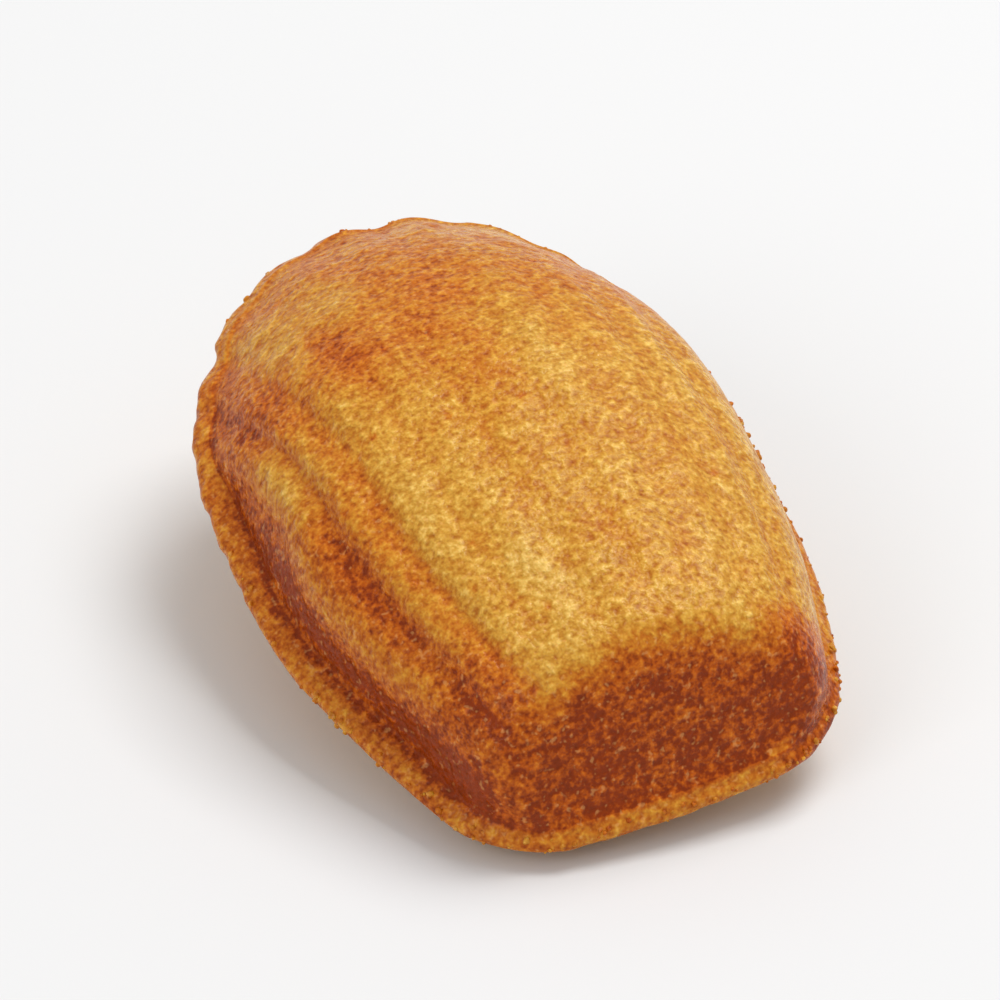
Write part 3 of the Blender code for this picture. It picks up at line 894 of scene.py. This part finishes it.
class Bench:
    """The nodes of one material, made one by one."""

    def __init__(self, name: str) -> None:
        """Start a material with only its shader and output.

        Args:
            name: the material's name.
        """
        self.material = bpy.data.materials.new(name)
        self.material.use_nodes = True
        self.tree = self.material.node_tree
        self.shader = self.tree.nodes["Principled BSDF"]

    def make(self, kind: str, settings: dict, values: dict, output: Union[int, str] = 0) -> Value:
        """Add a node.

        Args:
            kind: the node's type.
            settings: its own settings, set first.
            values: what goes into its inputs, by number or name: a Value, a number or a colour.
            output: which output to give back.

        Returns:
            That output.
        """
        node = self.tree.nodes.new(kind)
        for name, setting in settings.items():
            setattr(node, name, setting)
        for name, value in values.items():
            self.put(node.inputs[name], value)
        return Value(self, node.outputs[output])

    def put(self, socket: bpy.types.NodeSocket, value: Union[Value, float, tuple]) -> None:
        """Link a Value to a socket, or set the socket's own value."""
        if isinstance(value, Value):
            self.tree.links.new(value.socket, socket)
        elif isinstance(value, tuple) and socket.type == "RGBA":
            socket.default_value = (*value, 1.0)
        else:
            socket.default_value = value

    def dress(self, **inputs: Union[Value, float, tuple]) -> None:
        """Set or link the shader's inputs, named with underscores for spaces."""
        for name, value in inputs.items():
            self.put(self.shader.inputs[name.replace("_", " ")], value)

    def attribute(self, name: str) -> Value:
        """A number that the mesh holds at each vertex."""
        return self.make("ShaderNodeAttribute", {"attribute_name": name}, {}, "Fac")

    def place(self, shift: Vector = Vector((0.0, 0.0, 0.0))) -> Value:
        """The point's place on the object, moved by shift."""
        here = self.make("ShaderNodeTexCoord", {}, {}, "Object")
        return self.make("ShaderNodeMapping", {}, {"Vector": here, "Location": tuple(shift)})

    def noise(self, place: Value, size: float, detail: float = 2.0, roughness: float = 0.5) -> Value:
        """Noise with features of the given size in metres, from about 0.2 to 0.8."""
        values = {"Vector": place, "Scale": 1.0 / size, "Detail": detail, "Roughness": roughness}
        return self.make("ShaderNodeTexNoise", {"noise_dimensions": "3D"}, values, "Fac")

    def mix(self, factor: Union[Value, float], first: Union[Value, tuple], second: Union[Value, tuple]) -> Value:
        """Colour between two others by a factor."""
        settings = {"data_type": "RGBA", "blend_type": "MIX"}
        return self.make("ShaderNodeMix", settings, {0: factor, 6: first, 7: second}, 2)

    def scale(self, colour: Value, factor: Value) -> Value:
        """Colour times a number."""
        values = {"Vector": colour, "Scale": factor}
        return self.make("ShaderNodeVectorMath", {"operation": "SCALE"}, values)

    def ramp(self, value: Value, stops: tuple[tuple[float, Colour], ...]) -> Value:
        """Colour along straight lines between stops.

        Args:
            value: where along the ramp.
            stops: places and colours, in order.

        Returns:
            The colour there.
        """
        colour = stops[0][1]
        for (low, _), (high, following) in zip(stops, stops[1:]):
            colour = self.mix(value.rise(low, high), colour, following)
        return colour

    def bump(self, height: Value, distance: float, under: Union[Value, None] = None) -> Value:
        """Normal tilted by a height map, distance metres high at height 1."""
        values = {"Height": height, "Distance": distance, "Strength": 1.0}
        if under is not None:
            values["Normal"] = under
        return self.make("ShaderNodeBump", {}, values, "Normal")


@dataclass(frozen=True)
class GoldenCrust:
    """Buttery baked crust: straw to dark brown with its browning, mottled, grainy, faintly glossy, with painted
    glints.
    """

    name: str = SLOT
    straw: Colour = (0.72, 0.45, 0.108)
    gold: Colour = (0.64, 0.33, 0.045)
    amber: Colour = (0.585, 0.238, 0.022)
    russet: Colour = (0.555, 0.158, 0.011)
    brown: Colour = (0.455, 0.088, 0.004)
    scorched: Colour = (0.275, 0.036, 0.002)
    painted_glint_colour: Colour = (0.95, 0.50, 0.17)
    blotch_size: float = 0.0085
    blotch: float = 0.24
    mottle_size: float = 0.0024
    mottle: float = 0.34
    grain_size: float = 0.00090
    grain: float = 0.80
    speck_size: float = 0.00045
    speck: float = 0.55
    painted_glint_and_shade: float = 0.65
    painted_glint_size: float = 0.00062
    painted_glint_from: float = 0.60
    painted_glint_full: float = 0.76
    painted_glint: float = 0.28
    painted_glint_gloss: float = 0.12
    grain_height: float = 0.00030
    speck_height: float = 0.00008
    pore_shade: float = 0.35
    roughness: float = 0.30
    roughness_spread: float = 0.30
    specular: float = 0.15
    translucency: float = 0.10
    bleed: float = 0.0009

    def material(self) -> bpy.types.Material:
        """Build the material.

        The place on the ramp is the browning plus four noises, from blotches to specks, plus painted shade in
        the pores.
        The two finest noises also make the colour lighter and darker, as painted glints and painted shade
        of the grain. Where a fifth noise is high, pale painted glints lie on it.

        Returns:
            The material.
        """
        bench = Bench(self.name)
        place = bench.place()
        blotch = bench.noise(place, self.blotch_size, 1.0) - 0.5
        mottle = bench.noise(bench.place(Vector((0.4, 0.1, 0.2))), self.mottle_size, 2.0) - 0.5
        grain = bench.noise(bench.place(Vector((0.1, 0.5, 0.3))), self.grain_size, 2.0) - 0.5
        speck = bench.noise(bench.place(Vector((0.7, 0.2, 0.6))), self.speck_size, 1.0) - 0.5
        # The pores' depth raises the tone: painted shade in the pits.
        tone = bench.attribute("browning") + bench.attribute("pore") * self.pore_shade
        tone = tone + blotch * self.blotch + mottle * self.mottle
        tone = tone - grain * self.grain - speck * self.speck
        stops = (self.straw, self.gold, self.amber, self.russet, self.brown, self.scorched)
        colour = bench.ramp(tone, tuple((0.2 * step, stop) for step, stop in enumerate(stops)))
        # Painted glints and painted shade of the grain: the colour made lighter and darker with the two finest
        # noises.
        colour = bench.scale(colour, 1.0 + (grain + speck) * self.painted_glint_and_shade)
        # Painted glints: pale specks mixed into the colour where a fifth noise is high, a little glossier there.
        painted_glint = bench.noise(bench.place(Vector((0.3, 0.6, 0.1))), self.painted_glint_size, 1.0)
        painted_glint = painted_glint.smooth_rise(self.painted_glint_from, self.painted_glint_full)
        colour = bench.mix(painted_glint * self.painted_glint, colour, self.painted_glint_colour)
        normal = bench.bump(grain + 0.5, self.grain_height)
        normal = bench.bump(speck + 0.5, self.speck_height, normal)
        roughness = self.roughness + (mottle - grain) * self.roughness_spread - painted_glint * self.painted_glint_gloss
        bench.dress(Base_Color=colour, Roughness=roughness, Normal=normal)
        bench.dress(Specular_IOR_Level=self.specular, Subsurface_Weight=self.translucency)
        bench.dress(Subsurface_Scale=self.bleed)
        bench.shader.inputs["Subsurface Radius"].default_value = (1.0, 0.45, 0.18)
        return bench.material


def add_piece(name: str, points: Array, quads: Array, material: bpy.types.Material) -> bpy.types.Object:
    """Put a smooth-shaded mesh into the scene as a piece of the cake.

    Args:
        name: the piece's name.
        points: its vertices.
        quads: its faces, four corners each.
        material: its finish.

    Returns:
        The object, riding on the cake's body.
    """
    mesh = bpy.data.meshes.new(name)
    mesh.from_pydata(points.tolist(), [], quads.tolist())
    mesh.shade_smooth()
    mesh.materials.append(material)
    piece = bpy.data.objects.new(name, mesh)
    bpy.context.scene.collection.objects.link(piece)
    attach(piece, BODY)
    return piece


def add_attribute(piece: bpy.types.Object, name: str, values: Array) -> None:
    """Store one number for each vertex of a piece."""
    layer = piece.data.attributes.new(name, "FLOAT", "POINT")
    layer.data.foreach_set("value", values.astype(np.float32))


def report(piece: bpy.types.Object) -> None:
    """Log a piece's size and number of triangles."""
    triangles = sum(len(face.vertices) - 2 for face in piece.data.polygons)
    sides = ", ".join(f"{1000.0 * side:.1f}" for side in piece.dimensions)
    LOG.info("%s: %d triangles, %s mm", piece.name, triangles, sides)


@dataclass(frozen=True)
class Crumbs:
    """Crumbs that cling to the lip's edge: lumpy little balls, partly sunk in the crust.

    Attributes:
        count: how many.
        smallest: least radius.
        largest: greatest radius.
        sunk: share of the radius by which the middle lies under the surface.
        lump: noise that makes them lumpy.
        lumpiness: how far it pushes, as a share of the radius.
        cuts: cells along each side of the cube that a ball is made from.
        right: how likely a place on the right is.
        left: how likely one on the left is, near the narrow end.
        elsewhere: how likely any other is.
        seed: start of the random numbers.
    """

    count: int = 170
    smallest: float = 0.00014
    largest: float = 0.00038
    sunk: float = 0.25
    lump: CubicNoise = CubicNoise(0.0004, 21)
    lumpiness: float = 0.45
    cuts: int = 4
    right: float = 1.0
    left: float = 0.9
    elsewhere: float = 0.15
    seed: int = 22

    def ball(self) -> tuple[Array, Array]:
        """Directions over a ball and its faces: a cube's six grids, blown out to radius 1.

        Returns:
            The directions, and four corners for each face.
        """
        u, v = np.meshgrid(np.arange(self.cuts), np.arange(self.cuts), indexing="ij")
        faces = []
        for axis, side in itertools.product(range(3), (0, self.cuts)):
            corners = np.full((self.cuts**2, 4, 3), side)
            for corner, (along, up) in enumerate(((0, 0), (1, 0), (1, 1), (0, 1))):
                corners[:, corner, (axis + 1) % 3] = (u + along).ravel()
                corners[:, corner, (axis + 2) % 3] = (v + up).ravel()
            faces.append(corners if side else corners[:, ::-1])
        spots = np.concatenate(faces).reshape(-1, 3)
        places, index = np.unique(spots, axis=0, return_inverse=True)
        return unit(places - 0.5 * self.cuts), index.reshape(-1, 4)

    def likelihood(self, crust: Crust) -> Array:
        """How likely a crumb is at each vertex: on the lip's edge, by side."""
        x, y, _ = crust.level.T
        side = np.where(x > 0.0, self.right, np.where(y < 0.030, self.left, self.elsewhere))
        chance = side * crust.on(Surface.LIP) * bell(0.3, 0.25, crust.turn)
        return chance / chance.sum()

    def build(self, crust: Crust, finish: bpy.types.Material) -> bpy.types.Object:
        """Strew the crumbs over a finished surface.

        Args:
            crust: the surface.
            finish: the crust's material.

        Returns:
            All the crumbs as one piece.
        """
        draw = np.random.default_rng(self.seed)
        spots = draw.choice(len(crust.points), self.count, replace=False, p=self.likelihood(crust))
        radius = self.smallest + (self.largest - self.smallest) * draw.random(self.count) ** 2
        middle = crust.points[spots] - crust.normals()[spots] * (self.sunk * radius)[:, None]
        ball, faces = self.ball()
        round_about = radius[:, None, None] * ball[None]
        push = self.lump.smooth((middle[:, None] + round_about).reshape(-1, 3)).reshape(self.count, -1, 1)
        points = middle[:, None] + round_about * (1.0 + self.lumpiness * push)
        corners = faces[None] + len(ball) * np.arange(self.count)[:, None, None]
        crumbs = add_piece("crumbs", points.reshape(-1, 3), corners.reshape(-1, 4), finish)
        browning = np.repeat(draw.uniform(0.35, 0.75, self.count), len(ball))
        add_attribute(crumbs, "browning", browning)
        add_attribute(crumbs, "pore", np.zeros(len(browning)))
        return crumbs


@dataclass
class ShellCake:
    """The baked cake itself: form, numbering, relief, browning and finish."""

    form: CakeForm = field(default_factory=CakeForm)
    weave: Weave = field(default_factory=Weave)
    relief: CrustRelief = field(default_factory=CrustRelief)
    baking: Baking = field(default_factory=Baking)
    crumbs: Crumbs = field(default_factory=Crumbs)
    finish: GoldenCrust = field(default_factory=GoldenCrust)

    def surface(self) -> Crust:
        """Lay the shell, the lip and the hump out as one closed level surface.

        The lip's level part runs in a straight line from the shell's foot to the edge's top. The hump
        has the shell's plan grid, drawn out from the plan centre so that its border meets the lip.

        Returns:
            The smooth level surface.
        """
        form, weave = self.form, self.weave
        x, y = weave.plan(form)
        shell = form.shell_points(x, y)
        number = form.rib_number(x, y)
        lines, stations = weave.border()
        foot = shell[lines, stations]
        angle = np.arctan2(x[lines, stations], form.plan_centre - y[lines, stations])
        top = form.lip_points(foot, angle, 0.0)
        share = np.arange(1, weave.flat_rings + 1)[:, None, None] / weave.flat_rings
        flat = foot + (top - foot) * share
        flat[..., 2] = form.lip_rise(share[..., 0])
        turn = np.arange(1, weave.edge_rings + 1)[:, None] / weave.edge_rings
        edge = form.lip_points(foot, angle[None, :], turn)
        hump = self.hump_plan(x, y)
        under = form.hump_points(*hump)[1:-1, 1:-1]
        count = len(angle)
        level = np.vstack([shell.reshape(-1, 3), flat.reshape(-1, 3), edge.reshape(-1, 3), under.reshape(-1, 3)])
        numbers = [number.ravel(), np.tile(number[lines, stations], weave.flat_rings + weave.edge_rings)]
        numbers.append(number[1:-1, 1:-1].ravel())
        inner = under.shape[0] * under.shape[1]
        on_top = np.repeat(share.ravel() - 1.0, count)
        turns = [np.full(number.size, -1.0), on_top, np.repeat(turn[:, 0], count), np.ones(inner)]
        sizes = [number.size, (weave.flat_rings + weave.edge_rings) * count, inner]
        kinds = np.repeat([part.value for part in Surface], sizes)
        return Crust(level, level, np.concatenate(numbers), np.concatenate(turns), kinds, weave.quads())

    def hump_plan(self, x: Array, y: Array) -> tuple[Array, Array]:
        """Plan of the hump's grid: the shell's, stretched towards the lip by the square of nearness.

        Args:
            x: plan places across of the shell's grid.
            y: plan places along.

        Returns:
            The stretched places.
        """
        form = self.form
        lines, stations = self.weave.border()
        border_x, border_y = x[lines, stations], y[lines, stations] - form.plan_centre
        angle = np.arctan2(border_x, -border_y)
        order = np.argsort(angle)
        reach = np.hypot(border_x, border_y)[order]
        wanted = form.lip_reach(angle[order]) - 0.5 * form.lip_thickness
        here = np.arctan2(x, form.plan_centre - y)
        inner = np.interp(here, angle[order], reach, period=2.0 * np.pi)
        outer = np.interp(here, angle[order], wanted, period=2.0 * np.pi)
        near = np.clip(np.hypot(x, y - form.plan_centre) / inner, 0.0, 1.0)
        stretch = 1.0 + (outer / inner - 1.0) * near**2
        return x * stretch, form.plan_centre + (y - form.plan_centre) * stretch

    def build(self) -> list[bpy.types.Object]:
        """Make the cake, dress it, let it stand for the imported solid, and strew its crumbs.

        Returns:
            The cake and the crumbs.
        """
        crust = self.surface()
        crust.points = self.form.leaned(self.form.uneven(crust.level))
        pores = self.relief.apply(crust)
        crust.points = self.form.settled(crust.points, *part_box(NODE))
        finish = self.finish.material()
        cake = add_piece("baked_cake", crust.points, crust.quads, finish)
        add_attribute(cake, "browning", self.baking.browning(crust, self.form))
        add_attribute(cake, "pore", pores)
        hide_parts(NODE)
        return [cake, self.crumbs.build(crust, finish)]


@dataclass(frozen=True)
class Lamp:
    """A soft square lamp that looks at the cake.

    Attributes:
        bearing: plan angle of the lamp from the front, towards the right.
        height: angle above the floor.
        distance: distance from the cake's middle.
        width: side of its square.
        power: in watts.
        colour: its light's colour.
    """

    name: str
    bearing: float
    height: float
    distance: float
    width: float
    power: float
    colour: Colour = (1.0, 1.0, 1.0)


def spot_from(middle: Vector, bearing: float, height: float, distance: float) -> Vector:
    """Place at a distance from the middle, by its bearing from the front and its height angle."""
    flat = distance * math.cos(height)
    offset = Vector((flat * math.sin(bearing), -flat * math.cos(bearing), distance * math.sin(height)))
    return middle + offset


@dataclass(frozen=True)
class Studio:
    """Pale floor, soft lamps and the camera."""

    floor_size: float = 6.0
    floor_colour: Colour = (0.80, 0.80, 0.80)
    surround: Colour = (1.0, 1.0, 1.0)
    surround_strength: float = 0.54
    camera_bearing: float = math.radians(-25.8)
    camera_height: float = math.radians(34.29)
    camera_distance: float = 0.7414
    lens: float = 286.0
    lamps: tuple[Lamp, ...] = (
        Lamp("key", math.radians(100.0), math.radians(64.0), 1.2, 0.7, 9.6),
        Lamp("fill", math.radians(-65.0), math.radians(35.0), 1.0, 0.5, 1.8),
    )

    def build(self, middle: Vector) -> None:
        """Set up the floor, the light and the camera about the cake.

        Args:
            middle: the middle of the cake's box.
        """
        self.lay_floor()
        self.light_surround()
        for lamp in self.lamps:
            self.hang(lamp, middle)
        self.aim_camera(middle)
        bpy.context.scene.view_settings.view_transform = "Standard"

    def lay_floor(self) -> None:
        """A flat square of matt pale board under the cake."""
        half = 0.5 * self.floor_size
        mesh = bpy.data.meshes.new("floor")
        corners = [(-half, -half, 0.0), (half, -half, 0.0), (half, half, 0.0), (-half, half, 0.0)]
        mesh.from_pydata(corners, [], [(0, 1, 2, 3)])
        bench = Bench("pale_board")
        bench.dress(Base_Color=self.floor_colour, Roughness=0.8)
        mesh.materials.append(bench.material)
        floor = bpy.data.objects.new("floor", mesh)
        bpy.context.scene.collection.objects.link(floor)

    def light_surround(self) -> None:
        """Even pale light from all round."""
        world = bpy.data.worlds.new("surround")
        world.use_nodes = True
        sky = world.node_tree.nodes["Background"]
        sky.inputs["Color"].default_value = (*self.surround, 1.0)
        sky.inputs["Strength"].default_value = self.surround_strength
        bpy.context.scene.world = world

    def hang(self, lamp: Lamp, middle: Vector) -> None:
        """Hang one lamp, turned to the cake's middle.

        Args:
            lamp: the lamp.
            middle: the middle of the cake's box.
        """
        light = bpy.data.lights.new(lamp.name, "AREA")
        light.shape = "SQUARE"
        light.size = lamp.width
        light.energy = lamp.power
        light.color = lamp.colour
        holder = bpy.data.objects.new(lamp.name, light)
        holder.location = spot_from(middle, lamp.bearing, lamp.height, lamp.distance)
        holder.rotation_euler = (middle - holder.location).to_track_quat("-Z", "Y").to_euler()
        bpy.context.scene.collection.objects.link(holder)

    def aim_camera(self, middle: Vector) -> None:
        """Stand the camera at its bearing and height and aim it at the cake's middle."""
        camera = bpy.data.cameras.new("camera")
        camera.lens = self.lens
        camera.clip_start = 0.01
        holder = bpy.data.objects.new("camera", camera)
        holder.location = spot_from(middle, self.camera_bearing, self.camera_height, self.camera_distance)
        holder.rotation_euler = (middle - holder.location).to_track_quat("-Z", "Y").to_euler()
        bpy.context.scene.collection.objects.link(holder)
        bpy.context.scene.camera = holder


def main() -> None:
    """Build the cake and the studio, and report each piece."""
    logging.basicConfig(level=logging.INFO, format="%(message)s")
    low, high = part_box(NODE)
    for piece in ShellCake().build():
        report(piece)
    Studio().build(0.5 * (low + high))


if __name__ == "__main__":
    main()
